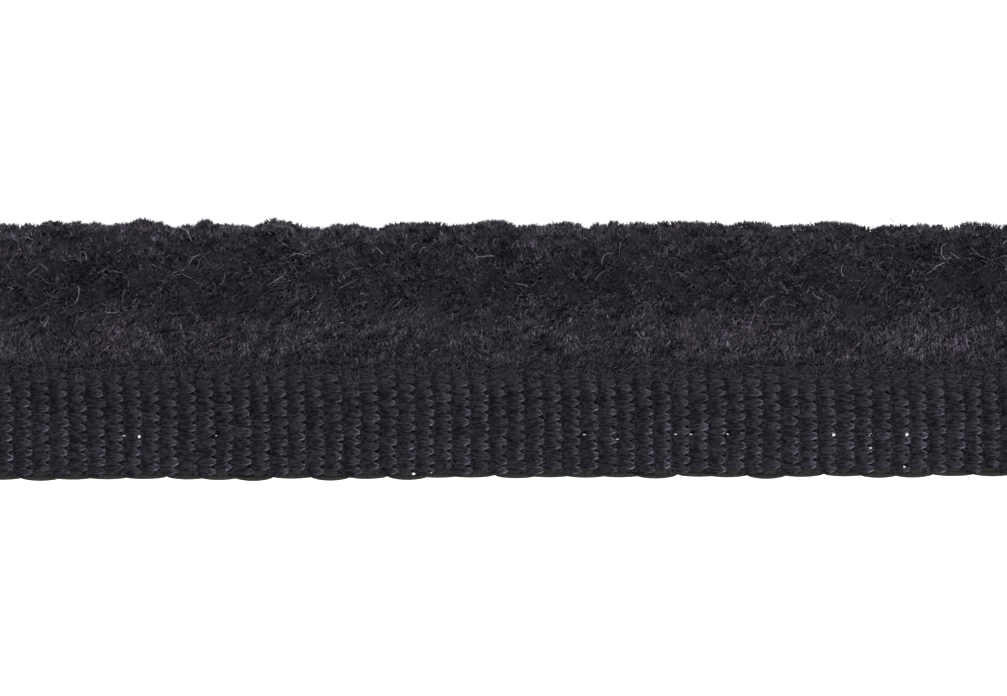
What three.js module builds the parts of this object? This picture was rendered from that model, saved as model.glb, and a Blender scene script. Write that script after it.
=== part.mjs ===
// Velvet piping: a cut length of round velvet bead with a flat ribbed tape along one side,
// lying on a level surface. Millimetres, +Z up. X runs along the piping, the bead lies on the
// +Y side and the tape on the -Y side. Y is first measured from the crease, the line where the
// pile ends over the tape as seen from above, and the finished group is centred at the end.
import * as THREE from 'three';

// Cut length: a whole number of ribs
const RIB_PITCH = 1.58;
const RIB_COUNT = 64;
const LENGTH = RIB_PITCH * RIB_COUNT;
const HALF_LENGTH = LENGTH / 2;

// Bead: a round body of pile with a flat seat below and a neck over the root of the tape
const BEAD_WIDTH = 11.7;
const BEAD_HEIGHT = 9.8;
const SEAT_DROP = 0.42;
const BEAD_NARROWING = 0.0027;
const BEAD_STEPS = 126;
const BEAD_SIDES = 26;
const BODY_INSET = 1.9;
const NECK_REACH = 2.15;
const NECK_TURN = THREE.MathUtils.degToRad(200);
const NECK_SPREAD = THREE.MathUtils.degToRad(28);

// Clumps and hollows of pile along the outer flank: place along X, rise and half width
const CLUMPS = [
  { at: -47.1, rise: 0.28, half: 1.3 },
  { at: -38.7, rise: 0.3, half: 0.9 },
  { at: -36.3, rise: 0.4, half: 1.1 },
  { at: -33.4, rise: 0.14, half: 1.0 },
  { at: -31.0, rise: 0.38, half: 1.3 },
  { at: -25.2, rise: 0.38, half: 1.3 },
  { at: -19.7, rise: 0.58, half: 1.1 },
  { at: -16.0, rise: -0.32, half: 1.1 },
  { at: -10.9, rise: -0.48, half: 1.0 },
  { at: -8.4, rise: 0.34, half: 1.1 },
  { at: -5.6, rise: 0.28, half: 1.3 },
  { at: -0.7, rise: 0.38, half: 1.5 },
  { at: 5.4, rise: 0.28, half: 1.2 },
  { at: 9.1, rise: 0.3, half: 1.2 },
  { at: 11.4, rise: 0.3, half: 1.0 },
  { at: 13.5, rise: 0.38, half: 1.4 },
  { at: 16.0, rise: 0.34, half: 1.2 },
  { at: 18.6, rise: 0.36, half: 1.1 },
  { at: 20.8, rise: 0.26, half: 1.0 },
  { at: 22.7, rise: 0.18, half: 1.1 },
  { at: 28.1, rise: 0.33, half: 1.4 },
  { at: 31.7, rise: -0.2, half: 1.0 },
  { at: 33.6, rise: 0.14, half: 1.2 },
  { at: 39.2, rise: 0.16, half: 1.5 },
  { at: 41.1, rise: 0.28, half: 0.9 },
  { at: 46.4, rise: 0.26, half: 1.4 },
];
const CLUMP_TURN = THREE.MathUtils.degToRad(34);

// Unevenness of the pile over the crown: rise, length along X, whole turns, and start.
// Below the flanks only a share of it is left.
const SWELL_BELOW = 0.25;
const SWELLS = [
  { rise: 0.12, along: 17.3, turns: 1, start: 0.4 },
  { rise: 0.1, along: 8.9, turns: -2, start: 2.1 },
  { rise: 0.08, along: 4.7, turns: 3, start: 4.4 },
];

// Tape: one woven layer, ribbed on both faces, that leaves the neck and lies flat
const TAPE_SHOWN = 10.05;
const TAPE_ROOT = 0.4;
const TAPE_NARROWING = 0.004;
const TAPE_THICKNESS = 1.15;
const RIB_DEPTH = 0.24;
const ROOT_LIFT = 0.82;
const FLAT_FROM = -3.2;
const SELVEDGE_WIDTH = 0.35;
const SELVEDGE_THINNING = 0.24;
const SCALLOP = 0.07;
const SCALLOP_RIBS = 2;
const RIB_LEAN = -0.35;
const LEAN_FROM = -5.0;
const LEAN_FADE = 6.0;

// Stations of one rib: share of the pitch, and how far each face stands out there
const RIB_STATIONS = [
  { share: 0, top: 0, under: 0 },
  { share: 0.24, top: 0.82, under: 1 },
  { share: 0.5, top: 1, under: 1 },
  { share: 0.76, top: 0.82, under: 1 },
];

// Lines across the tape, as shares of the way from the root to the selvedge band
const TAPE_LINES = [0, 0.09, 0.18, 0.27, 0.36, 0.68, 1];

function smoothStep(share) {
  const t = THREE.MathUtils.clamp(share, 0, 1);
  return t * t * (3 - 2 * t);
}

function bell(distance, half) {
  return Math.exp(-((distance / half) ** 2));
}

// Closes a row of equal rings into one solid. Each ring runs anticlockwise seen from +X.
function loft(rings) {
  const sides = rings[0].length;
  const last = (rings.length - 1) * sides;
  const index = [];
  for (let r = 0; r < rings.length - 1; r += 1) {
    for (let k = 0; k < sides; k += 1) {
      const next = (k + 1) % sides;
      const a = r * sides + k;
      const b = r * sides + next;
      const c = b + sides;
      const d = a + sides;
      index.push(a, b, d, b, c, d);
    }
  }
  const outline = (ring) => ring.map((point) => new THREE.Vector2(point.y, point.z));
  for (const [a, b, c] of THREE.ShapeUtils.triangulateShape(outline(rings[0]), [])) {
    index.push(c, b, a);
  }
  for (const [a, b, c] of THREE.ShapeUtils.triangulateShape(outline(rings.at(-1)), [])) {
    index.push(last + a, last + b, last + c);
  }
  const geometry = new THREE.BufferGeometry().setFromPoints(rings.flat());
  geometry.setIndex(index);
  geometry.computeVertexNormals();
  return geometry;
}

// Pile of the bead

function pileRise(x, turn) {
  const outward = Math.atan2(Math.sin(turn), Math.cos(turn));
  let rise = 0;
  for (const clump of CLUMPS) {
    rise += clump.rise * bell(x - clump.at, clump.half) * bell(outward, CLUMP_TURN);
  }
  for (const swell of SWELLS) {
    const phase = (2 * Math.PI * x) / swell.along + swell.turns * turn + swell.start;
    rise += swell.rise * Math.sin(phase) * Math.max(SWELL_BELOW, Math.sin(turn));
  }
  return rise;
}

function beadPoint(x, turn) {
  const outerEdge = BEAD_WIDTH - BEAD_NARROWING * x;
  const halfWidth = (outerEdge - BODY_INSET) / 2;
  const halfHeight = (BEAD_HEIGHT + SEAT_DROP) / 2;
  const rise = pileRise(x, turn);
  const neck = NECK_REACH * bell(turn - NECK_TURN, NECK_SPREAD);
  const y = BODY_INSET + halfWidth + (halfWidth + rise) * Math.cos(turn) - neck;
  const z = BEAD_HEIGHT - halfHeight + (halfHeight + rise) * Math.sin(turn);
  return new THREE.Vector3(x, y, Math.max(0, z));
}

function beadGeometry() {
  const rings = [];
  for (let step = 0; step <= BEAD_STEPS; step += 1) {
    const x = LENGTH * (step / BEAD_STEPS) - HALF_LENGTH;
    const ring = [];
    for (let side = 0; side < BEAD_SIDES; side += 1) {
      ring.push(beadPoint(x, (2 * Math.PI * side) / BEAD_SIDES));
    }
    rings.push(ring);
  }
  return loft(rings);
}

// Ribs of the tape

// A rib leans a little towards -X as it nears the bead. The lean fades out at the cut ends.
function leanAt(x, y) {
  const fade = Math.min(1, (HALF_LENGTH - Math.abs(x)) / LEAN_FADE);
  return RIB_LEAN * fade * smoothStep((y - LEAN_FROM) / (TAPE_ROOT - LEAN_FROM));
}

function liftAt(y) {
  return ROOT_LIFT * smoothStep((y - FLAT_FROM) / (TAPE_ROOT - FLAT_FROM));
}

// One point of the tape: how far each face stands out at the rib, and its thinning there
function tapePoint(x, y, out, thinning, isTop) {
  const inset = RIB_DEPTH * (1 - out) + thinning;
  const z = liftAt(y) + (isTop ? TAPE_THICKNESS - inset : inset);
  return new THREE.Vector3(x + leanAt(x, y), y, z);
}

// The whole outline of the tape at one station. Its edge swells out once in every scallop.
function tapeRing(rib, station) {
  const along = rib + station.share;
  const x = along * RIB_PITCH - HALF_LENGTH;
  const scallop = SCALLOP * Math.sin((2 * Math.PI * along) / SCALLOP_RIBS);
  const edge = -TAPE_SHOWN + TAPE_NARROWING * x - scallop;
  const band = edge + SELVEDGE_WIDTH;
  const ys = TAPE_LINES.map((share) => TAPE_ROOT + (band - TAPE_ROOT) * share);
  const top = ys.map((y) => tapePoint(x, y, station.top, 0, true));
  const under = ys.map((y) => tapePoint(x, y, station.under, 0, false));
  const edgeTop = tapePoint(x, edge, station.top, SELVEDGE_THINNING, true);
  const edgeUnder = tapePoint(x, edge, station.under, SELVEDGE_THINNING, false);
  return [edgeUnder, ...under.reverse(), ...top, edgeTop];
}

function tapeGeometry() {
  const rings = [];
  for (let rib = 0; rib < RIB_COUNT; rib += 1) {
    for (const station of RIB_STATIONS) {
      rings.push(tapeRing(rib, station));
    }
  }
  rings.push(tapeRing(RIB_COUNT, RIB_STATIONS[0]));
  return loft(rings);
}

// Finish

const velvet = new THREE.MeshStandardMaterial({ color: 0x2b2930, roughness: 0.95, metalness: 0 });
const ribbedWeave = new THREE.MeshStandardMaterial({
  color: 0x2e2c31,
  roughness: 0.85,
  metalness: 0,
});

function namedMesh(name, geometry, material) {
  const mesh = new THREE.Mesh(geometry, material);
  mesh.name = name;
  return mesh;
}

const piping = new THREE.Group();
piping.add(namedMesh('velvet_bead', beadGeometry(), velvet));
piping.add(namedMesh('flange_tape', tapeGeometry(), ribbedWeave));

// The origin is the middle of the underside
const extent = new THREE.Box3().setFromObject(piping);
const middle = extent.getCenter(new THREE.Vector3());
piping.position.set(-middle.x, -middle.y, -extent.min.z);

export default piping;
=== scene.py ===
import math
import bpy
import numpy as np
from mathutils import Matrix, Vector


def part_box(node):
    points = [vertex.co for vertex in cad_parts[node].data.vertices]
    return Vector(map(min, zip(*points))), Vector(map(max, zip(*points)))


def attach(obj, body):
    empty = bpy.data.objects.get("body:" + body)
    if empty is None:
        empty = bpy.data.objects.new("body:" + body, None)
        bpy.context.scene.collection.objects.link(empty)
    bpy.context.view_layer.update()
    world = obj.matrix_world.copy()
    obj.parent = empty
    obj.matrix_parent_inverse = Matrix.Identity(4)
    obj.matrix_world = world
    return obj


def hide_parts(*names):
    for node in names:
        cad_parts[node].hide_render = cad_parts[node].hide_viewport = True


# Velvet piping: a lumpy bead of cut pile and a ribbed woven tape, lying on a pale floor.
# All sizes are in metres. X runs along the piping, the tape lies on the -Y side.

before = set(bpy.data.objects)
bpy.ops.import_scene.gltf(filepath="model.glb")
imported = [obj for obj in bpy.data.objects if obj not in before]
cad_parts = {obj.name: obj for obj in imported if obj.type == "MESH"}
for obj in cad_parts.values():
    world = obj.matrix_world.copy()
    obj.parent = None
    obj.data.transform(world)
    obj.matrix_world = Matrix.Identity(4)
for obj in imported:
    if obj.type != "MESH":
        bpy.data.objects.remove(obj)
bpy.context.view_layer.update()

MM = 0.001
PI = math.pi

# The body that everything rides on, and places taken from the frame
BODY = "root"
BEAD_LOW, BEAD_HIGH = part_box("velvet_bead")
TAPE_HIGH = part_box("flange_tape")[1]
LENGTH = BEAD_HIGH[0] - BEAD_LOW[0]
HALF_LENGTH = LENGTH / 2
TAPE_ROOT = 0.4 * MM
CREASE = TAPE_HIGH[1] - TAPE_ROOT

# Bead, measured from the crease as in the solid
BEAD_WIDTH = 11.7 * MM
BEAD_HEIGHT = 9.8 * MM
SEAT_DROP = 0.42 * MM
BEAD_NARROWING = 0.0027
BODY_INSET = 1.9 * MM
NECK_REACH = 2.15 * MM
NECK_TURN = math.radians(200)
NECK_SPREAD = math.radians(28)
ROUND_RADIUS = BEAD_WIDTH / 2

# Clumps and hollows of the outer flank: place along X, rise, half width
CLUMPS_MM = (
    (-47.1, 0.28, 1.3),
    (-38.7, 0.3, 0.9),
    (-36.3, 0.4, 1.1),
    (-33.4, 0.14, 1.0),
    (-31.0, 0.38, 1.3),
    (-25.2, 0.38, 1.3),
    (-19.7, 0.58, 1.1),
    (-16.0, -0.32, 1.1),
    (-10.9, -0.48, 1.0),
    (-8.4, 0.34, 1.1),
    (-5.6, 0.28, 1.3),
    (-0.7, 0.38, 1.5),
    (5.4, 0.28, 1.2),
    (9.1, 0.3, 1.2),
    (11.4, 0.3, 1.0),
    (13.5, 0.38, 1.4),
    (16.0, 0.34, 1.2),
    (18.6, 0.36, 1.1),
    (20.8, 0.26, 1.0),
    (22.7, 0.18, 1.1),
    (28.1, 0.33, 1.4),
    (31.7, -0.2, 1.0),
    (33.6, 0.14, 1.2),
    (39.2, 0.16, 1.5),
    (41.1, 0.28, 0.9),
    (46.4, 0.26, 1.4),
)
CLUMP_TURN = math.radians(34)

# Unevenness over the crown: rise, length along X, whole turns, start
SWELL_BELOW = 0.25
SWELLS_MM = (
    (0.12, 17.3, 1, 0.4),
    (0.10, 8.9, -2, 2.1),
    (0.08, 4.7, 3, 4.4),
)

# Pile: tufts of strands on a ground some way inside the solid's surface. The ground keeps a
# little over the floor.
PILE_DEPTH = 0.5 * MM
GROUND_FLOOR = 0.3 * MM
ROOT_SUNK = 0.12 * MM
TUFT_PITCH = 0.375 * MM
TUFT_JITTER = 0.38
TUFT_STRANDS = 6
TUFT_SPREAD = 0.12 * MM
STRAND_RADIUS = 0.1 * MM
STRAND_GIRTHS = (0.75, 1.25)
STRAND_SIDES = 3
STRANDS_A_PIECE = 45000
END_OVERHANG = 0.2 * MM
PILE_FLOOR = 0.01 * MM

# Lengths of the strands, as shares of the pile's depth, and how uneven they are from tuft to
# tuft, from strand to strand, and in patches
STRAND_LENGTH = 0.96
TUFT_UNEVEN = 0.1
STRAND_UNEVEN = 0.08
PATCH_UNEVEN = 0.1
UNEVEN_PATCH = 2.2 * MM

# Leans of the strands, as shares of their length: by tuft, by strand, and in patches
TUFT_LEAN = 0.35
STRAND_LEAN = 0.5
PATCH_LEAN = 0.3
BROAD_PATCH = 5.5 * MM
SMALL_PATCH = 1.3 * MM

# Tape, measured from the crease
RIB_PITCH = 1.58 * MM
RIB_COUNT = round(LENGTH / RIB_PITCH)
TAPE_SHOWN = 10.05 * MM
TAPE_NARROWING = 0.004
TAPE_THICKNESS = 1.15 * MM
TAPE_MID = TAPE_THICKNESS / 2
ROOT_LIFT = 0.82 * MM
FLAT_FROM = -3.2 * MM
RIB_LEAN = -0.35 * MM
LEAN_FROM = -5.0 * MM
LEAN_FADE = 6.0 * MM

# Warp yarns, which run along X over and under the ribs. A few more lie past the root, where the
# tape runs on into the pile under the neck.
END_COUNT = 24
TUCKED_ENDS = 3
YARN_PIECES = 2
SELVEDGE = 0.38 * MM
YARN_HALF = 0.44 * MM
YARN_STEPS = 8
YARN_SKEW = 0.08 * MM

# Upper face of one yarn over two ribs, from the middle of its float: ribs along, share of the
# half width, height in mm, and shade. The shade column is painted light and shade: darker on the
# top of the float, a painted highlight on the tooth at its right end, which lies over its
# neighbours, and lighter on the dips at its left end, which lie under theirs in shade. The lower
# face is the same one turned over.
FLOAT_PROFILE = (
    (-1.0, 0.1, -0.3, 0.8),
    (-0.875, 0.1, -0.2, 0.8),
    (-0.75, 0.3, -0.12, 1.2),
    (-0.625, 0.7, 0.0, 2.5),
    (-0.5, 0.95, 0.12, 2.7),
    (-0.375, 1.0, 0.25, 2.3),
    (-0.25, 1.0, 0.39, 1.5),
    (-0.125, 1.0, 0.505, 1.08),
    (0.0, 1.0, 0.552, 0.92),
    (0.125, 1.0, 0.552, 0.88),
    (0.25, 1.0, 0.53, 0.9),
    (0.375, 0.88, 0.485, 0.98),
    (0.5, 0.66, 0.43, 1.08),
    (0.625, 0.4, 0.36, 1.2),
    (0.75, 0.14, 0.26, 1.15),
    (0.875, 0.1, 0.0, 0.8),
    (1.0, 0.1, -0.3, 0.8),
)

# Section of a yarn: share of the half width, upper face or lower, and share of the painted highlight
# on the edge.
# Narrow strips beside the corners keep the faces flat and the corners only a little round.
YARN_SECTION = (
    (1.0, 0, 1.0),
    (1.0, 1, 1.0),
    (0.94, 1, 1.0),
    (0.5, 1, 0.0),
    (-0.5, 1, 0.0),
    (-0.94, 1, 1.0),
    (-1.0, 1, 1.0),
    (-1.0, 0, 1.0),
    (-0.94, 0, 1.0),
    (0.94, 0, 1.0),
)
YARN_SIDES = len(YARN_SECTION)

# The yarns lie flatter towards the root, where the ribs fade in under the pile
ROOT_FLATNESS = 0.5
RELIEF_FROM = -3.2 * MM
RELIEF_TO = -0.8 * MM

# How uneven the floats are among themselves. The height differs within the top of a float only.
REACH_UNEVEN = 0.09
HEIGHT_UNEVEN = 0.018 * MM
TOP_HALF = 0.6
WIDTH_UNEVEN = 0.06
SHADE_UNEVEN = 0.09

# Slow unevenness along a yarn: amount, how far its neighbour lies away in the noise, length of
# the noise in ribs, and seed. The amounts are in mm, and that of the shade is a share.
SHARED_WANDER = (0.05, 0.3, 2.6, 41)
OWN_WANDER = (0.04, 1.0, 1.0, 43)
SIDE_WANDER = (0.02, 3.7, 1.4, 42)
SHADE_WANDER = (0.04, 0.9, 3.0, 44)

# A painted highlight on the edges of a tooth, stronger than on its middle, from some way along the
# float
PAINTED_EDGE_HIGHLIGHT = 2.9
EDGE_UNEVEN = 0.55
EDGE_FROM = 0.3
EDGE_FADE = 0.22

# Yarns across the tape, at places measured from the crease in mm: their shade, which is painted
# shade that evens out how the light falls across the tape, darker towards the outer edge and
# darkest near the root, and the share of the painted highlight on the edges of their teeth
PAINTED_SHADE_ACROSS_MM = (
    (-10.0, 0.87, 1.0),
    (-7.5, 0.9, 0.95),
    (-5.6, 0.98, 0.8),
    (-3.3, 1.04, 0.6),
    (-1.8, 0.75, 0.6),
    (-0.6, 0.74, 0.35),
)
YARN_SHADE = 0.92
YARN_SHADE_LIMITS = (0.6, 1.3)

# Pinholes where the yarns part: ribs along from the left end, share of the way to the edge,
# and half width in mm
PINHOLES = (
    (11.24, 0.65, 0.045),
    (12.16, 0.65, 0.045),
    (16.2, 0.65, 0.035),
    (27.06, 0.955, 0.08),
    (28.1, 0.955, 0.09),
    (36.34, 0.65, 0.04),
    (38.3, 0.7, 0.04),
    (41.35, 0.65, 0.05),
    (42.23, 0.65, 0.04),
    (44.2, 0.65, 0.07),
    (50.1, 0.65, 0.05),
    (52.16, 0.65, 0.06),
    (52.06, 0.79, 0.06),
    (53.96, 0.93, 0.09),
    (54.13, 0.65, 0.045),
)
PINHOLE_REACH = 0.2 * MM
PINHOLE_NEAR = 0.9 * MM

# Loops of weft round the outer edge, one for every two ribs. Their bow and girth are shares, a
# least one and what comes on top.
LOOP_RIBS = 2
LOOP_JITTER = 0.15
LOOP_OVERLAP = 0.12
LOOP_RADIUS = 0.24 * MM
LOOP_BOW = 0.17 * MM
LOOP_OUT = 0.24 * MM
LOOP_RINGS = 13
LOOP_SIDES = 6
BOW_LEAST = 0.3
BOW_MORE = 1.3
BOW_FULLNESS = 0.6
GIRTH_LEAST = 0.55
GIRTH_MORE = 0.45
LOOP_GIRTHS = (0.9, 1.08)
LOOP_LEVEL = 0.1 * MM
LOOP_SWING = 0.14 * MM
LOOP_UNEVEN = 0.03 * MM


def smooth_step(share):
    t = np.clip(share, 0.0, 1.0)
    return t * t * (3.0 - 2.0 * t)


def bell(distance, half):
    return np.exp(-((distance / half) ** 2))


NOISE_SIZE = 256


def soft_noise(u, v, cell, seed):
    """A smooth random field from -1 to 1 whose lumps are about one cell wide."""
    table = np.random.default_rng(seed).uniform(-1.0, 1.0, (NOISE_SIZE, NOISE_SIZE))
    u = np.asarray(u) / cell + NOISE_SIZE
    v = np.asarray(v) / cell + NOISE_SIZE
    iu = np.floor(u).astype(int)
    iv = np.floor(v).astype(int)
    fu = smooth_step(u - iu)
    fv = smooth_step(v - iv)
    low = table[iu % NOISE_SIZE, iv % NOISE_SIZE] * (1 - fu)
    low = low + table[(iu + 1) % NOISE_SIZE, iv % NOISE_SIZE] * fu
    high = table[iu % NOISE_SIZE, (iv + 1) % NOISE_SIZE] * (1 - fu)
    high = high + table[(iu + 1) % NOISE_SIZE, (iv + 1) % NOISE_SIZE] * fu
    return low * (1 - fv) + high * fv


# Meshes

# Directions that strands and fibres hardly ever take. Their sections are laid out from these.
STRAND_ASIDE = np.array([1.0, 0.02, 0.03])
FIBRE_ASIDE = np.array([0.05, 0.08, 1.0])


def make_piece(name, points, face_groups, material, shade=None, smooth=True):
    """Makes an object from points and arrays of faces, one array for each size of face."""
    mesh = bpy.data.meshes.new(name)
    mesh.vertices.add(len(points))
    mesh.vertices.foreach_set("co", np.asarray(points, dtype=np.float32).ravel())
    corners = np.concatenate([group.ravel() for group in face_groups])
    sizes = np.concatenate([np.full(len(group), group.shape[1]) for group in face_groups])
    mesh.loops.add(len(corners))
    mesh.loops.foreach_set("vertex_index", corners.astype(np.int32))
    mesh.polygons.add(len(sizes))
    starts = np.concatenate([[0], np.cumsum(sizes)[:-1]])
    mesh.polygons.foreach_set("loop_start", starts.astype(np.int32))
    mesh.polygons.foreach_set("use_smooth", np.full(len(sizes), smooth))
    mesh.update(calc_edges=True)
    mesh.validate()
    if shade is not None:
        attribute = mesh.attributes.new("shade", "FLOAT", "POINT")
        attribute.data.foreach_set("value", np.asarray(shade, dtype=np.float32))
    mesh.materials.append(material)
    piece = bpy.data.objects.new(name, mesh)
    bpy.context.scene.collection.objects.link(piece)
    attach(piece, BODY)
    return piece


def tube_faces(tubes, rings, sides):
    """Side quads and end caps for equal tubes, with points in the order tube, ring, side."""
    start = (np.arange(tubes) * rings * sides)[:, None, None]
    ring = (np.arange(rings - 1) * sides)[None, :, None]
    side = np.arange(sides)[None, None, :]
    after = (np.arange(sides) + 1) % sides
    a = start + ring + side
    b = start + ring + after[None, None, :]
    quads = np.stack([a, b, b + sides, a + sides], axis=-1).reshape(-1, 4)
    first = start[:, 0] + np.arange(sides)[::-1][None, :]
    last = start[:, 0] + (rings - 1) * sides + np.arange(sides)[None, :]
    return [quads, np.concatenate([first, last])]


def strand_faces(strands):
    """Three sides and a base for each pointed strand, whose last point is its tip."""
    sides = [(0, 1, 3), (1, 2, 3), (2, 0, 3), (2, 1, 0)]
    start = (np.arange(strands) * (STRAND_SIDES + 1))[:, None, None]
    return [(start + np.array(sides)[None]).reshape(-1, 3)]


def pointed_strands(base, direction, reach, radius, spin):
    """Points of many strands, each a three-sided base and a tip."""
    side = np.cross(direction, STRAND_ASIDE)
    side /= np.linalg.norm(side, axis=1, keepdims=True)
    other = np.cross(direction, side)
    points = np.empty((len(base), STRAND_SIDES + 1, 3))
    for corner in range(STRAND_SIDES):
        angle = spin + 2 * PI * corner / STRAND_SIDES
        offset = np.cos(angle)[:, None] * side + np.sin(angle)[:, None] * other
        points[:, corner] = base + offset * radius[:, None]
    points[:, STRAND_SIDES] = base + direction * reach[:, None]
    return points


def fibre_rings(paths, radii, sides):
    """Rings of round section along many paths at once, with a radius at each of their points."""
    along = np.gradient(paths, axis=1)
    along /= np.linalg.norm(along, axis=2, keepdims=True)
    side = np.cross(along, FIBRE_ASIDE)
    side /= np.linalg.norm(side, axis=2, keepdims=True)
    other = np.cross(side, along)
    rings = np.empty((*paths.shape[:2], sides, 3))
    for corner in range(sides):
        angle = 2 * PI * corner / sides
        offset = math.cos(angle) * side + math.sin(angle) * other
        rings[:, :, corner] = paths + offset * radii[..., None]
    return rings


def strand_piece(name, points, shade, material):
    """A piece of pile from the points and the shade of each of its strands."""
    piece = make_piece(
        name, points.reshape(-1, 3), strand_faces(len(points)), material,
        shade=np.repeat(shade, STRAND_SIDES + 1), smooth=False,
    )


# Form of the bead

def outward_turn(turn):
    """The turn from the middle of the outer flank, from -PI to PI."""
    return np.arctan2(np.sin(turn), np.cos(turn))


def pile_rise(x, turn):
    outward = outward_turn(turn)
    rise = np.zeros(np.broadcast(x, turn).shape)
    for at, high, half in CLUMPS_MM:
        rise += high * MM * bell(x - at * MM, half * MM) * bell(outward, CLUMP_TURN)
    for high, along, turns, start in SWELLS_MM:
        phase = 2 * PI * x / (along * MM) + turns * turn + start
        rise += high * MM * np.sin(phase) * np.maximum(SWELL_BELOW, np.sin(turn))
    return rise


def bead_surface(x, turn, inset=0.0):
    """Points of the bead's outside, or of a like surface some way inside it."""
    half_width = (BEAD_WIDTH - BEAD_NARROWING * x - BODY_INSET) / 2
    half_height = (BEAD_HEIGHT + SEAT_DROP) / 2
    rise = pile_rise(x, turn) - inset
    neck = NECK_REACH * bell(turn - NECK_TURN, NECK_SPREAD)
    y = CREASE + BODY_INSET + half_width + (half_width + rise) * np.cos(turn) - neck
    z = BEAD_HEIGHT - half_height + (half_height + rise) * np.sin(turn)
    floor = np.minimum(inset, GROUND_FLOOR)
    return np.stack([np.broadcast_to(x, y.shape), y, np.maximum(z, floor)], axis=-1)


def bead_normal(x, turn):
    """Outward direction of the smooth bead, from two small steps over it, or down on its seat."""
    small = 1e-3
    nothing = 1e-16
    along = bead_surface(x + small * MM, turn) - bead_surface(x - small * MM, turn)
    around = bead_surface(x, turn + small) - bead_surface(x, turn - small)
    normal = np.cross(around, along)
    size = np.linalg.norm(normal, axis=-1, keepdims=True)
    seat = size[..., 0] < nothing
    normal = normal / np.maximum(size, nothing)
    normal[seat] = (0.0, 0.0, -1.0)
    return normal


# Form of the tape

def lean_at(x, y):
    fade = np.clip((HALF_LENGTH - np.abs(x)) / LEAN_FADE, 0.0, 1.0)
    return RIB_LEAN * fade * smooth_step((y - LEAN_FROM) / (TAPE_ROOT - LEAN_FROM))


def lift_at(y):
    return ROOT_LIFT * smooth_step((y - FLAT_FROM) / (TAPE_ROOT - FLAT_FROM))


def tape_place(ribs, share):
    """Plan position on the tape: how many ribs along, and the share of the way to the edge."""
    x = ribs * RIB_PITCH - HALF_LENGTH
    edge = -TAPE_SHOWN + TAPE_NARROWING * x
    y = TAPE_ROOT + (edge - TAPE_ROOT) * share
    return x + lean_at(x, y), y


def lay_tape(x, y, height):
    """A point of the tape in the part's frame, from its height over the middle of the cloth."""
    return np.stack([x, y + CREASE, lift_at(y) + TAPE_MID + height], axis=-1)


# Materials

# Darkest and palest colours, as linear red, green and blue. The pile goes from blue to violet.
PILE_BLUE = (0.251, 0.265, 0.314)
PILE_VIOLET = (0.286, 0.246, 0.324)
GROUND_DARK = (0.012, 0.011, 0.015)
GROUND_PALE = (0.03, 0.028, 0.036)
YARN_DARK = (0.009, 0.0076, 0.0112)
YARN_PALE = (0.038, 0.0352, 0.0455)
WEFT_DARK = (0.010, 0.010, 0.010)
WEFT_OLIVE = (0.034, 0.031, 0.027)
HAIR_DARK = (0.03, 0.028, 0.036)
HAIR_PALE = (0.27, 0.27, 0.31)
COOL_SHEEN = (0.86, 0.83, 1.0, 1.0)
WHITE = (1.0, 1.0, 1.0, 1.0)


def new_material(name):
    material = bpy.data.materials.new(name)
    material.use_nodes = True
    nodes = material.node_tree.nodes
    links = material.node_tree.links
    shader = nodes["Principled BSDF"]
    return material, nodes, links, shader


def object_coordinates(nodes, links, stretch=(1.0, 1.0, 1.0), turn=0.0):
    coordinates = nodes.new("ShaderNodeTexCoord")
    mapping = nodes.new("ShaderNodeMapping")
    mapping.inputs["Scale"].default_value = stretch
    mapping.inputs["Rotation"].default_value = (0.0, 0.0, turn)
    links.new(coordinates.outputs["Object"], mapping.inputs["Vector"])
    return mapping.outputs["Vector"]


def noise_node(nodes, links, vector, scale, detail):
    noise = nodes.new("ShaderNodeTexNoise")
    noise.inputs["Scale"].default_value = scale
    noise.inputs["Detail"].default_value = detail
    links.new(vector, noise.inputs["Vector"])
    return noise.outputs["Fac"]


def ramp_node(nodes, links, value, low, high):
    """A ramp between two stops, each a value and its colour."""
    ramp = nodes.new("ShaderNodeValToRGB")
    for element, (stop, colour) in zip(ramp.color_ramp.elements, (low, high)):
        element.position = stop
        element.color = (*colour, 1.0)
    links.new(value, ramp.inputs["Fac"])
    return ramp.outputs["Color"]


def multiply_colours(nodes, links, first, second):
    mix = nodes.new("ShaderNodeMix")
    mix.data_type = "RGBA"
    mix.blend_type = "MULTIPLY"
    mix.inputs["Factor"].default_value = 1.0
    links.new(first, mix.inputs["A"])
    links.new(second, mix.inputs["B"])
    return mix.outputs["Result"]


def shade_value(nodes):
    attribute = nodes.new("ShaderNodeAttribute")
    attribute.attribute_name = "shade"
    return attribute.outputs["Fac"]


def set_surface(shader, roughness, specular):
    shader.inputs["Roughness"].default_value = roughness
    shader.inputs["Specular IOR Level"].default_value = specular


def add_bump(nodes, links, shader, height, distance):
    bump = nodes.new("ShaderNodeBump")
    bump.inputs["Distance"].default_value = distance
    links.new(height, bump.inputs["Height"])
    links.new(bump.outputs["Normal"], shader.inputs["Normal"])


def grey(value):
    return (value, value, value)


def pile_material():
    material, nodes, links, shader = new_material("velvet_pile")
    vector = object_coordinates(nodes, links)
    broad = noise_node(nodes, links, vector, scale=220.0, detail=2.0)
    tint = ramp_node(nodes, links, broad, (0.4, PILE_BLUE), (0.6, PILE_VIOLET))
    fine = noise_node(nodes, links, vector, scale=5200.0, detail=2.0)
    grains = ramp_node(nodes, links, fine, (0.4, grey(0.35)), (0.62, grey(1.0)))
    grainy = multiply_colours(nodes, links, tint, grains)
    colour = multiply_colours(nodes, links, grainy, shade_value(nodes))
    links.new(colour, shader.inputs["Base Color"])
    set_surface(shader, roughness=0.75, specular=0.2)
    shader.inputs["Specular Tint"].default_value = COOL_SHEEN
    return material


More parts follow.
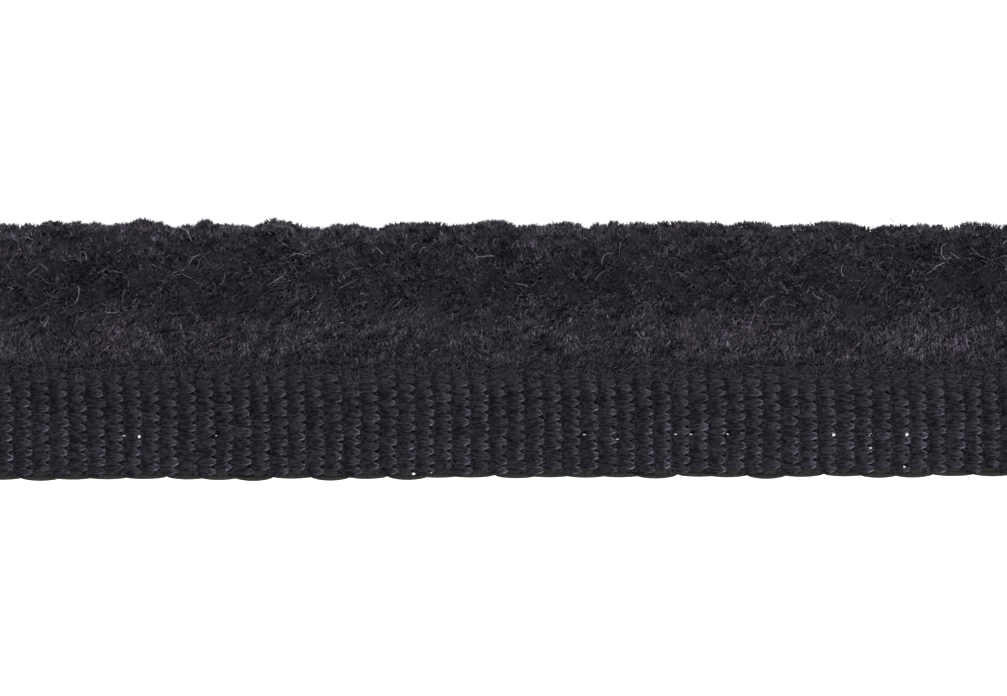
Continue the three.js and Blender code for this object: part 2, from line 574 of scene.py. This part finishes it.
def ground_material():
    material, nodes, links, shader = new_material("pile_ground")
    vector = object_coordinates(nodes, links)
    fine = noise_node(nodes, links, vector, scale=2600.0, detail=3.0)
    colour = ramp_node(nodes, links, fine, (0.35, GROUND_DARK), (0.65, GROUND_PALE))
    links.new(colour, shader.inputs["Base Color"])
    set_surface(shader, roughness=0.95, specular=0.1)
    add_bump(nodes, links, shader, fine, distance=0.1 * MM)
    return material


def yarn_material():
    material, nodes, links, shader = new_material("warp_yarn")
    fibres = object_coordinates(nodes, links, stretch=(0.3, 1.0, 1.0), turn=math.radians(-9))
    fine = noise_node(nodes, links, fibres, scale=6000.0, detail=5.0)
    tint = ramp_node(nodes, links, fine, (0.42, YARN_DARK), (0.6, YARN_PALE))
    colour = multiply_colours(nodes, links, tint, shade_value(nodes))
    links.new(colour, shader.inputs["Base Color"])
    set_surface(shader, roughness=0.4, specular=0.14)
    shader.inputs["Specular Tint"].default_value = COOL_SHEEN
    add_bump(nodes, links, shader, fine, distance=0.05 * MM)
    return material


def weft_material():
    material, nodes, links, shader = new_material("weft_cord")
    fibres = object_coordinates(nodes, links, stretch=(1.0, 0.3, 1.0), turn=math.radians(20))
    fine = noise_node(nodes, links, fibres, scale=7000.0, detail=3.0)
    colour = ramp_node(nodes, links, fine, (0.3, WEFT_DARK), (0.75, WEFT_OLIVE))
    links.new(colour, shader.inputs["Base Color"])
    set_surface(shader, roughness=0.8, specular=0.25)
    add_bump(nodes, links, shader, fine, distance=0.05 * MM)
    return material


def hair_material():
    material, nodes, links, shader = new_material("stray_hair")
    colour = ramp_node(nodes, links, shade_value(nodes), (0.0, HAIR_DARK), (1.0, HAIR_PALE))
    links.new(colour, shader.inputs["Base Color"])
    set_surface(shader, roughness=0.5, specular=0.5)
    return material


# Bead pieces

GROUND_STEPS = 340
GROUND_SIDES = 72


def build_ground(material):
    x = np.linspace(-HALF_LENGTH, HALF_LENGTH, GROUND_STEPS + 1)[:, None]
    turn = (2 * PI * np.arange(GROUND_SIDES) / GROUND_SIDES)[None, :]
    points = bead_surface(x, turn, PILE_DEPTH)
    piece = make_piece(
        "velvet_ground", points.reshape(-1, 3),
        tube_faces(1, GROUND_STEPS + 1, GROUND_SIDES), material,
    )
    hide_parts("velvet_bead")
    return piece


# Little clumps of the pile, which stand out more on the outer flank, and wider dips
KNOB_SIZE = 0.8 * MM
KNOB_HEIGHT_MM = 0.18
KNOB_STEEPNESS = 3.5
KNOBS_MORE = 0.5
DIP_SIZE = 2.0 * MM
DIP_DEPTH_MM = 0.05

# Narrow folds in the pile of the inner flank: place along X, depth, half width
FOLDS_MM = (
    (29.9, 0.5, 0.28),
    (-22.9, 0.35, 0.3),
    (-5.5, 0.3, 0.28),
    (3.8, 0.3, 0.26),
    (16.9, 0.3, 0.3),
    (-43.0, 0.25, 0.3),
)
FOLD_TURN = math.radians(145)
FOLD_SPREAD = math.radians(34)

# The seat is hidden, and only a share of its tufts is made
HIDDEN_FROM = math.radians(232)
HIDDEN_TO = math.radians(318)
HIDDEN_SHARE = 0.5
ARC_SAMPLES = 2000

# Strands over the neck are more ragged
RAGGED_MORE = 4
RAGGED_SPREAD = math.radians(22)

# Shades of the strands: the least one, what tuft and strand add at most, and the share of
# strands with a painted glint, which grows down the flanks. Patches of two sizes are paler or
# darker.
PILE_SHADE = 0.2
TUFT_SHADE = 0.42
STRAND_SHADE = 0.16
PAINTED_GLINT_SHARE = 0.05
PAINTED_GLINT_SHARE_BELOW = 0.08
PAINTED_GLINT_SHADE = 0.7
PAINTED_GLINT_LEVELS = (0.3, 1.2)
MOTTLE = 0.3
SMALL_MOTTLE = 0.8 * MM
BROAD_MOTTLE = 3.0 * MM

# Painted shade on the crown, standing for pile seen end on, and on the fringe that lies in the
# crease
CROWN_PAINTED_SHADE = 0.4
FRINGE_PAINTED_SHADE = 0.45
FRINGE_FROM = math.radians(180)
FRINGE_FADE = math.radians(16)


def arc_at(turn):
    """Way round the section, taken as a circle, from the middle of the seat."""
    return np.mod(turn + PI / 2, 2 * PI) * ROUND_RADIUS


def small_rise(x, turn):
    """Little clumps and dips of the pile, with fairly steep sides, and the folds."""
    arc = arc_at(turn)
    knobs = 1 + KNOBS_MORE * bell(outward_turn(turn), CLUMP_TURN)
    steep = np.tanh(KNOB_STEEPNESS * soft_noise(x, arc, KNOB_SIZE, seed=26))
    rise = steep * KNOB_HEIGHT_MM * MM * knobs
    rise = rise + soft_noise(x, arc, DIP_SIZE, seed=27) * DIP_DEPTH_MM * MM
    for at, deep, half in FOLDS_MM:
        fold = bell(x - at * MM, half * MM) * bell(turn - FOLD_TURN, FOLD_SPREAD)
        rise = rise - deep * MM * fold
    return rise


def turns_by_arc():
    """Turns at even steps round the section, and the way along its outline to each of them."""
    turn = np.linspace(0.0, 2 * PI, ARC_SAMPLES)
    section = bead_surface(np.zeros(ARC_SAMPLES), turn)
    way = np.concatenate([[0.0], np.cumsum(np.linalg.norm(np.diff(section, axis=0), axis=1))])
    return turn, way


def place_tufts(rng):
    """Where the tufts stand along and round the bead, on an uneven grid with staggered rows."""
    turn, way = turns_by_arc()
    rows = int(way[-1] / TUFT_PITCH)
    columns = int(LENGTH / TUFT_PITCH)
    row, column = np.meshgrid(np.arange(rows), np.arange(columns), indexing="ij")
    jitter = rng.uniform(-TUFT_JITTER, TUFT_JITTER, (2, rows, columns))
    stagger = 0.5 * (row % 2) - 0.25
    along = (column + 0.5 + stagger + jitter[0]) * LENGTH / columns - HALF_LENGTH
    around = (row + 0.5 + jitter[1]) * way[-1] / rows
    along = np.clip(along, -HALF_LENGTH, HALF_LENGTH).ravel()
    turns = np.interp(around.ravel(), way, turn)
    hidden = (turns > HIDDEN_FROM) & (turns < HIDDEN_TO)
    keep = ~hidden | (rng.uniform(size=len(turns)) < HIDDEN_SHARE)
    return along[keep], turns[keep]


def patch_lean(x, arc, seed):
    """Lean that neighbouring strands share, in broad patches and in small ones."""
    broad = soft_noise(x, arc, BROAD_PATCH, seed)
    small = soft_noise(x, arc, SMALL_PATCH, seed + 1)
    return PATCH_LEAN * broad + PATCH_LEAN * small


def strand_directions(rng, x, turn, tuft_lean):
    arc = arc_at(turn)
    normal = bead_normal(x, turn)
    x_axis = np.array([1.0, 0.0, 0.0])
    around = np.cross(x_axis, normal)
    patch = np.stack([patch_lean(x, arc, seed=21), patch_lean(x, arc, seed=23)], axis=1)
    lean = patch + tuft_lean + rng.normal(0.0, STRAND_LEAN, (len(x), 2))
    direction = normal + lean[:, :1] * x_axis + lean[:, 1:] * around
    return direction / np.linalg.norm(direction, axis=1, keepdims=True)


def strand_shades(rng, x, turn, tuft_shade):
    count = len(x)
    arc = arc_at(turn)
    shade = PILE_SHADE + TUFT_SHADE * tuft_shade ** 2 + STRAND_SHADE * rng.uniform(0.0, 1.0, count)
    # A few strands get a painted glint, more of them down the flanks
    painted_glint_share = PAINTED_GLINT_SHARE + PAINTED_GLINT_SHARE_BELOW * (1 - np.sin(turn))
    has_painted_glint = rng.uniform(size=count) < painted_glint_share
    shade = shade + PAINTED_GLINT_SHADE * has_painted_glint * rng.uniform(*PAINTED_GLINT_LEVELS, count)
    mottle = 1 + MOTTLE * soft_noise(x, arc, SMALL_MOTTLE, seed=28)
    shade = shade * (mottle + MOTTLE * soft_noise(x, arc, BROAD_MOTTLE, seed=29))
    # Painted shade on the crown and on the crease's fringe
    shade = shade * (1 - CROWN_PAINTED_SHADE * np.maximum(0.0, np.sin(turn)) ** 3)
    return shade * (1 - FRINGE_PAINTED_SHADE * smooth_step((turn - FRINGE_FROM) / FRINGE_FADE))


def build_pile(material):
    rng = np.random.default_rng(11)
    tuft_x, tuft_turn = place_tufts(rng)
    tufts = len(tuft_x)
    tuft_lean = rng.normal(0.0, TUFT_LEAN, (tufts, 2))
    tuft_long = rng.normal(0.0, TUFT_UNEVEN, tufts)
    tuft_shade = rng.uniform(0.0, 1.0, tufts)

    owner = np.repeat(np.arange(tufts), TUFT_STRANDS)
    count = len(owner)
    x = tuft_x[owner] + rng.normal(0.0, TUFT_SPREAD, count)
    x = np.clip(x, -HALF_LENGTH, HALF_LENGTH)
    turn = tuft_turn[owner] + rng.normal(0.0, TUFT_SPREAD / ROUND_RADIUS, count)
    base = bead_surface(x, turn, PILE_DEPTH + ROOT_SUNK - small_rise(x, turn))
    direction = strand_directions(rng, x, turn, tuft_lean[owner])
    ragged = 1 + RAGGED_MORE * bell(turn - NECK_TURN, RAGGED_SPREAD)
    length = STRAND_LENGTH + tuft_long[owner] + rng.normal(0.0, STRAND_UNEVEN, count) * ragged
    length = length + PATCH_UNEVEN * soft_noise(x, arc_at(turn), UNEVEN_PATCH, seed=25)
    reach = PILE_DEPTH * length + ROOT_SUNK
    radius = STRAND_RADIUS * rng.uniform(*STRAND_GIRTHS, count)
    points = pointed_strands(base, direction, reach, radius, rng.uniform(0.0, 2 * PI, count))
    end = HALF_LENGTH + END_OVERHANG
    points[..., 2] = np.maximum(points[..., 2], PILE_FLOOR)
    points[..., 0] = np.clip(points[..., 0], -end, end)
    shade = strand_shades(rng, x, turn, tuft_shade[owner])

    order = np.argsort(x, kind="stable")
    parts = np.array_split(order, math.ceil(count / STRANDS_A_PIECE))
    for number, chosen in enumerate(parts, start=1):
        strand_piece(f"velvet_pile_{number}", points[chosen], shade[chosen], material)


# Tape pieces

BASE_STEPS = 6
BASE_STRIPS = 25
TUCKED_STRIPS = 3
BASE_SHORT = 0.08 * MM
WEFT_HALF = 0.29 * MM
WEB_HALF = 0.05 * MM

# Lines of the base across the tape, as shares of the way from the root to the edge
BASE_STRIP = (1.0 - BASE_SHORT / TAPE_SHOWN) / BASE_STRIPS
BASE_SHARES = np.arange(-TUCKED_STRIPS, BASE_STRIPS + 1) * BASE_STRIP
BASE_LINES = len(BASE_SHARES)


def pinhole_cell(ribs, share):
    """The step along and the line across of the base's cell in which a pinhole lies."""
    return int(ribs * BASE_STEPS), int(np.searchsorted(BASE_SHARES, share)) - 1


def open_pinholes(quads):
    """Takes a cell out of both faces of the base for each pinhole and walls it round."""
    ring = 2 * BASE_LINES
    taken = []
    walls = []
    for step, line in [pinhole_cell(ribs, share) for ribs, share, _ in PINHOLES]:
        upper = [line, line + 1, line + 1 + ring, line + ring]
        lower = [ring - 1 - line, ring - 2 - line, 2 * ring - 2 - line, 2 * ring - 1 - line]
        taken += [step * ring + line, step * ring + ring - 2 - line]
        for corner in range(4):
            after = (corner + 1) % 4
            wall = [upper[corner], upper[after], lower[after], lower[corner]]
            walls.append([step * ring + point for point in wall])
    return np.concatenate([np.delete(quads, taken, axis=0), np.array(walls)])


def build_base(material):
    """The layer of weft cords between the warp yarns, which is the cloth itself."""
    steps = RIB_COUNT * BASE_STEPS
    ribs = (np.arange(steps + 1) / BASE_STEPS)[:, None]
    share = BASE_SHARES[None, :]
    x, y = tape_place(ribs, share)
    bulge = np.abs(np.sin(PI * ribs))
    half = WEB_HALF + (WEFT_HALF - WEB_HALF) * bulge * np.ones_like(share)
    rings = np.concatenate([lay_tape(x, y, half), lay_tape(x, y, -half)[:, ::-1]], axis=1)
    quads, caps = tube_faces(1, steps + 1, 2 * BASE_LINES)
    piece = make_piece(
        "tape_base", rings.reshape(-1, 3), [open_pinholes(quads), caps], material,
    )
    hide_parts("flange_tape")
    return piece


def pass_pinholes(ribs, middle, y):
    """Moves the points of a yarn aside where it passes a pinhole."""
    for hole_ribs, hole_share, hole_half in PINHOLES:
        step, line = pinhole_cell(hole_ribs, hole_share)
        along = (step + 0.5) / BASE_STEPS
        across = tape_place(along, (BASE_SHARES[line] + BASE_SHARES[line + 1]) / 2)[1]
        way = (ribs - along) * RIB_PITCH / PINHOLE_REACH
        half = hole_half * MM * (1 - way ** 2)
        near = (half > 0) & (np.abs(middle - across) < PINHOLE_NEAR)
        to_bead = np.maximum(y, across + half)
        to_edge = np.minimum(y, across - half)
        y = np.where(near, np.where(middle > across, to_bead, to_edge), y)
    return y


def yarn_noise(ribs, end, kind):
    amount, apart, cell, seed = kind
    return amount * soft_noise(ribs, end * apart, cell, seed)


def yarn_shades(y, places, level, edge_uneven):
    """Shades of a yarn's points: painted light and shade from their places on its floats and across
    the tape, and a painted highlight on the edges of its teeth.
    """
    at, _, _, painted_light = np.array(FLOAT_PROFILE).T
    across, painted_shade_levels, painted_edge_shares = np.array(PAINTED_SHADE_ACROSS_MM).T
    # Random tone of the yarn times the painted shade across the tape
    level = np.clip(level, *YARN_SHADE_LIMITS) * np.interp(y, across * MM, painted_shade_levels)
    painted_edge_light = PAINTED_EDGE_HIGHLIGHT * np.maximum(0.0, 1 + EDGE_UNEVEN * edge_uneven)
    painted_edge_light = painted_edge_light * np.interp(y, across * MM, painted_edge_shares)
    shade = np.empty((len(y), YARN_SIDES))
    for side, (_, face, edge) in enumerate(YARN_SECTION):
        # Painted light and shade along the float, with a painted highlight on the edges of the teeth
        tooth = smooth_step((places[face] - EDGE_FROM) / EDGE_FADE)
        shade[:, side] = level * np.interp(places[face], at, painted_light) * (1 + edge * painted_edge_light * tooth)
    return shade.ravel()


def yarn_rings(end, rng):
    """Points and shades of one warp yarn, ring by ring, as it goes over and under the ribs."""
    steps = RIB_COUNT * YARN_STEPS
    ribs = np.arange(steps + 1) / YARN_STEPS
    share = (end + 0.5) / END_COUNT * (1.0 - SELVEDGE / TAPE_SHOWN)
    x, y = tape_place(ribs, share)
    from_middle = ribs - 0.5 + end % 2
    floats = np.floor((from_middle + 1) / 2).astype(int)
    along = from_middle - 2 * floats
    longer, higher, wider, paler, edge_uneven = rng.normal(0.0, 1.0, (floats.max() + 1, 5))[floats].T

    # Places on the float of the lower face, which is turned over, and on that of the upper one
    turned = np.where(along > 0, 1.0 - along, -1.0 - along)
    reach = np.clip(along * (1 + REACH_UNEVEN * longer), -1.0, 1.0)
    at, wide_share, upper_mm, _ = np.array(FLOAT_PROFILE).T
    relief = 1 - ROOT_FLATNESS * smooth_step((y - RELIEF_FROM) / (RELIEF_TO - RELIEF_FROM))
    top = max(upper_mm)
    faces = []
    for place, way in ((turned, -1.0), (reach, 1.0)):
        height = top - relief * (top - np.interp(place, at, upper_mm))
        faces.append((YARN_HALF * np.interp(place, at, wide_share), way * height * MM))

    x = x + yarn_noise(ribs, end, SHARED_WANDER) * MM + yarn_noise(ribs, end, OWN_WANDER) * MM
    y = y + yarn_noise(ribs, end, SIDE_WANDER) * MM
    y = y - YARN_SKEW * np.sin(PI * from_middle)
    bump = HEIGHT_UNEVEN * higher * bell(along, TOP_HALF)
    rings = np.empty((steps + 1, YARN_SIDES, 3))
    for side, (out, face, _) in enumerate(YARN_SECTION):
        wide, height = faces[face]
        across = pass_pinholes(ribs, y, y + out * wide * (1 + WIDTH_UNEVEN * wider))
        rings[:, side] = lay_tape(x, across, height + bump)
    level = YARN_SHADE + SHADE_UNEVEN * paler + yarn_noise(ribs, end, SHADE_WANDER)
    return rings, yarn_shades(y, (turned, reach), level, edge_uneven)


def build_yarns(material):
    rng = np.random.default_rng(31)
    pieces = []
    parts = np.array_split(np.arange(-TUCKED_ENDS, END_COUNT), YARN_PIECES)
    for number, ends in enumerate(parts, start=1):
        made = [yarn_rings(end, rng) for end in ends]
        piece = make_piece(
            f"warp_yarns_{number}", np.concatenate([rings for rings, _ in made]).reshape(-1, 3),
            tube_faces(len(ends), RIB_COUNT * YARN_STEPS + 1, YARN_SIDES), material,
            shade=np.concatenate([shade for _, shade in made]),
        )
        pieces.append(piece)
    return pieces


def build_loops(material):
    """The turns of the weft round the last warp yarn, which make the uneven outer edge."""
    rng = np.random.default_rng(51)
    count = RIB_COUNT // LOOP_RIBS + 1
    share = np.linspace(0.0, 1.0, LOOP_RINGS)[None, :]
    start = (np.arange(count) * LOOP_RIBS - 0.5 + rng.normal(0.0, LOOP_JITTER, count))[:, None]
    ribs = start - LOOP_OVERLAP + (LOOP_RIBS + 2 * LOOP_OVERLAP) * share
    x = np.clip(ribs * RIB_PITCH - HALF_LENGTH, -HALF_LENGTH, HALF_LENGTH)
    # A hair's breadth keeps rings apart that the clipping puts in one place
    x = x + np.linspace(-0.01, 0.01, LOOP_RINGS)[None, :] * MM
    bow = LOOP_BOW * (BOW_LEAST + BOW_MORE * rng.uniform(0.0, 1.0, (count, 1)) ** 2)
    bulge = np.sin(PI * share) ** BOW_FULLNESS
    edge = -TAPE_SHOWN - LOOP_OUT + TAPE_NARROWING * x
    y = edge + LOOP_RADIUS + LOOP_BOW - bow * bulge
    height = LOOP_LEVEL + LOOP_SWING * np.cos(PI * share)
    height = height + LOOP_UNEVEN * rng.normal(0.0, 1.0, (count, 1))
    girth = GIRTH_LEAST + GIRTH_MORE * bulge
    radii = LOOP_RADIUS * girth * rng.uniform(*LOOP_GIRTHS, (count, 1))
    rings = fibre_rings(lay_tape(x, y, height), radii, LOOP_SIDES)
    piece = make_piece(
        "selvedge_loops", rings.reshape(-1, 3),
        tube_faces(count, LOOP_RINGS, LOOP_SIDES), material,
    )
    return piece


# Loose fibres. A pair of numbers is the range from which one is drawn.

FIBRE_SIDES = 3
FIBRE_START = 1.1

# Hairs on the pile: turns are in degrees, the least, the likeliest and the most
HAIR_COUNT = 190
HAIR_RINGS = 9
HAIR_LEAST_MM = 0.4
HAIR_MORE_MM = 1.5
HAIR_CURL = 0.9
HAIR_END_GAP = 3 * MM
HAIR_TURNS = (-20, 60, 170)
HAIR_CLEAR_MM = 0.02
HAIR_ARCHES_MM = (0.1, 0.45)
HAIR_FLOOR = 0.1 * MM
HAIR_RADII_MM = (0.02, 0.036)
HAIR_TAPER = 0.5
HAIR_SHADE = 0.2
HAIR_SHADE_MORE = 0.8

# Pile in the crease
CREASE_COUNT = 3500
CREASE_START = 0.35 * MM
CREASE_SPREAD_MM = 0.22
CREASE_UNEVEN = 0.5
CREASE_PATCH = 2.4 * MM
CREASE_LEVELS_MM = (0.42, 0.62)
CREASE_HEADING = 1.3
CREASE_RISES = (0.0, 0.7)
CREASE_LENGTHS_MM = (0.15, 0.35)
CREASE_GIRTHS = (0.5, 0.9)
CREASE_SHADE = 0.17
CREASE_SHADE_MORE = 0.4
CREASE_DIM = 0.3
CREASE_DIM_REACH = 1.2 * MM

# Fluff on the tape: some of it lies far from the crease
FLUFF_COUNT = 2900
FLUFF_RINGS = 4
FLUFF_LENGTHS_MM = (0.3, 1.0)
FLUFF_CURL = 1.0
FLUFF_END_GAP = 0.5 * MM
FLUFF_START = 0.3 * MM
FLUFF_SPREAD_MM = 1.0
NEAR_SHARE = 0.98
FAR_SPREADS_MM = (0.5, 9.0)
FLUFF_LEVEL_MM = 0.58
FLUFF_LEVELS_MM = (0.0, 0.12)
FLUFF_ARCH_MM = 0.1
FLUFF_RADII_MM = (0.02, 0.034)
FLUFF_TAPER = 0.4
FLUFF_SHADE = 0.4


def wandering(rng, count, rings, length, curl):
    """For many curved lines: the shares of their way, and their moves along X and across it."""
    share = np.linspace(0.0, 1.0, rings)[None, :]
    heading = rng.uniform(0.0, 2 * PI, (count, 1)) + rng.normal(0.0, curl, (count, 1)) * share
    step = length[:, None] / (rings - 1)
    along = np.cumsum(np.cos(heading) * step, axis=1)
    across = np.cumsum(np.sin(heading) * step, axis=1)
    return share, along - along.mean(axis=1, keepdims=True), across


def fibre_piece(name, paths, radii, shade, material):
    """A piece of thin fibres from the path and the shade of each of them."""
    count, rings = paths.shape[:2]
    piece = make_piece(
        name, fibre_rings(paths, radii, FIBRE_SIDES).reshape(-1, 3),
        tube_faces(count, rings, FIBRE_SIDES), material,
        shade=np.repeat(shade, rings * FIBRE_SIDES),
    )


def build_hairs(material):
    """Long pale hairs that lie on the pile."""
    rng = np.random.default_rng(61)
    each = (HAIR_COUNT, 1)
    length = (HAIR_LEAST_MM + HAIR_MORE_MM * rng.uniform(0.0, 1.0, HAIR_COUNT) ** 2) * MM
    share, along, across = wandering(rng, HAIR_COUNT, HAIR_RINGS, length, HAIR_CURL)
    start_x = rng.uniform(-HALF_LENGTH + HAIR_END_GAP, HALF_LENGTH - HAIR_END_GAP, each)
    start_turn = np.radians(rng.triangular(*HAIR_TURNS, each))
    x = start_x + along
    turn = start_turn + across / ROUND_RADIUS
    lift = (HAIR_CLEAR_MM + rng.uniform(*HAIR_ARCHES_MM, each) * np.sin(PI * share)) * MM
    paths = bead_surface(x, turn, -lift - small_rise(x, turn))
    paths[..., 2] = np.maximum(paths[..., 2], HAIR_FLOOR)
    radii = rng.uniform(*HAIR_RADII_MM, each) * MM * (FIBRE_START - HAIR_TAPER * share)
    shade = HAIR_SHADE + HAIR_SHADE_MORE * rng.uniform(0.0, 1.0, HAIR_COUNT) ** 1.5
    fibre_piece("stray_hairs", paths, radii, shade, material)


def build_crease_pile(material):
    """Pile that spills over the root of the tape and thins out within half a millimetre."""
    rng = np.random.default_rng(63)
    count = CREASE_COUNT
    x = rng.uniform(-HALF_LENGTH, HALF_LENGTH, count)
    uneven = 1 + CREASE_UNEVEN * soft_noise(x, 0.0, CREASE_PATCH, seed=64)
    y = CREASE_START - np.abs(rng.normal(0.0, CREASE_SPREAD_MM, count)) * uneven * MM
    base = lay_tape(x, y, rng.uniform(*CREASE_LEVELS_MM, count) * MM)
    heading = rng.normal(-PI / 2, CREASE_HEADING, count)
    rise = rng.uniform(*CREASE_RISES, count)
    direction = np.stack([np.cos(heading), np.sin(heading), rise], axis=1)
    direction /= np.linalg.norm(direction, axis=1, keepdims=True)
    reach = rng.uniform(*CREASE_LENGTHS_MM, count) * MM
    radius = STRAND_RADIUS * rng.uniform(*CREASE_GIRTHS, count)
    points = pointed_strands(base, direction, reach, radius, rng.uniform(0.0, 2 * PI, count))
    points[..., 0] = np.clip(points[..., 0], -HALF_LENGTH, HALF_LENGTH)
    shade = CREASE_SHADE + CREASE_SHADE_MORE * rng.uniform(0.0, 1.0, count) ** 2
    shade = shade * (1.0 - CREASE_DIM * smooth_step(-y / CREASE_DIM_REACH))
    strand_piece("crease_pile", points, shade, material)


def build_fluff(material):
    """Short fibres that the pile sheds over the first millimetres of the tape."""
    rng = np.random.default_rng(62)
    each = (FLUFF_COUNT, 1)
    length = rng.uniform(*FLUFF_LENGTHS_MM, FLUFF_COUNT) * MM
    share, along, across = wandering(rng, FLUFF_COUNT, FLUFF_RINGS, length, FLUFF_CURL)
    start_x = rng.uniform(-HALF_LENGTH + FLUFF_END_GAP, HALF_LENGTH - FLUFF_END_GAP, each)
    near_spread = np.abs(rng.normal(0.0, FLUFF_SPREAD_MM, each) * MM)
    is_far = rng.uniform(size=each) > NEAR_SHARE
    spread = np.where(is_far, rng.uniform(*FAR_SPREADS_MM, each) * MM, near_spread)
    x = np.clip(start_x + along, -HALF_LENGTH, HALF_LENGTH)
    y = FLUFF_START - spread + across
    level = FLUFF_LEVEL_MM + rng.uniform(*FLUFF_LEVELS_MM, each)
    height = (level + FLUFF_ARCH_MM * np.sin(PI * share)) * MM
    radii = rng.uniform(*FLUFF_RADII_MM, each) * MM * (FIBRE_START - FLUFF_TAPER * share)
    shade = FLUFF_SHADE * rng.uniform(0.0, 1.0, FLUFF_COUNT) ** 5
    fibre_piece("crease_fluff", lay_tape(x, y, height), radii, shade, material)


# Stage

# The camera looks straight down, and the frame's width holds at the subject's height
PIXELS_A_MM = 11.6
IMAGE_WIDTH = 1007
FRAME_WIDTH = IMAGE_WIDTH / PIXELS_A_MM * MM
CAMERA_HEIGHT = 1.2
CAMERA_Y = 0.08 * MM
SUBJECT_HEIGHT = 4.0 * MM
SENSOR_WIDTH_MM = 36.0

# Lights: name, energy, size, azimuth and elevation in degrees
LIGHTS = (
    ("key", 10.0, 0.5, -20, 38),
    ("rim", 11.0, 0.8, 100, 34),
    ("front", 7.0, 0.8, -85, 34),
)
LIGHT_DISTANCE = 1.2
WORLD_LIGHT = 0.12
FLOOR_HALF = 3.0
FLOOR_GLOW = 0.8


def build_camera():
    data = bpy.data.cameras.new("camera")
    data.sensor_width = SENSOR_WIDTH_MM
    data.lens = SENSOR_WIDTH_MM * (CAMERA_HEIGHT - SUBJECT_HEIGHT) / FRAME_WIDTH
    data.clip_start = 0.01
    data.clip_end = 20.0
    camera = bpy.data.objects.new("camera", data)
    camera.location = (0.0, CAMERA_Y, CAMERA_HEIGHT)
    bpy.context.scene.collection.objects.link(camera)
    bpy.context.scene.camera = camera


def area_light(name, energy, size, azimuth, elevation):
    data = bpy.data.lights.new(name, "AREA")
    data.shape = "DISK"
    data.size = size
    data.energy = energy
    light = bpy.data.objects.new(name, data)
    a = math.radians(azimuth)
    e = math.radians(elevation)
    light.location = (
        LIGHT_DISTANCE * math.cos(e) * math.cos(a),
        LIGHT_DISTANCE * math.cos(e) * math.sin(a),
        LIGHT_DISTANCE * math.sin(e),
    )
    light.rotation_euler = (math.radians(90 - elevation), 0.0, a + PI / 2)
    light.visible_camera = False
    bpy.context.scene.collection.objects.link(light)


def build_floor():
    half = FLOOR_HALF
    mesh = bpy.data.meshes.new("floor")
    corners = [(-half, -half, 0), (half, -half, 0), (half, half, 0), (-half, half, 0)]
    mesh.from_pydata(corners, [], [(0, 1, 2, 3)])
    material, nodes, links, shader = new_material("floor_card")
    vector = object_coordinates(nodes, links)
    fine = noise_node(nodes, links, vector, scale=40.0, detail=2.0)
    colour = ramp_node(nodes, links, fine, (0.3, grey(0.88)), (0.7, grey(0.9)))
    links.new(colour, shader.inputs["Base Color"])
    set_surface(shader, roughness=0.9, specular=0.1)
    shader.inputs["Emission Color"].default_value = WHITE
    shader.inputs["Emission Strength"].default_value = FLOOR_GLOW
    mesh.materials.append(material)
    floor = bpy.data.objects.new("floor", mesh)
    bpy.context.scene.collection.objects.link(floor)


def build_world():
    world = bpy.data.worlds.new("studio")
    world.use_nodes = True
    background = world.node_tree.nodes["Background"]
    background.inputs["Color"].default_value = WHITE
    background.inputs["Strength"].default_value = WORLD_LIGHT
    bpy.context.scene.world = world


def build_stage():
    bpy.context.scene.view_settings.view_transform = "Standard"
    build_floor()
    build_world()
    for light in LIGHTS:
        area_light(*light)


build_camera()
build_stage()

pile = pile_material()
ground = ground_material()
yarn = yarn_material()
weft = weft_material()
hair = hair_material()

build_ground(ground)
build_pile(pile)
build_hairs(hair)
build_crease_pile(pile)
build_fluff(hair)
base = build_base(weft)
yarns = build_yarns(yarn)
loops = build_loops(weft)
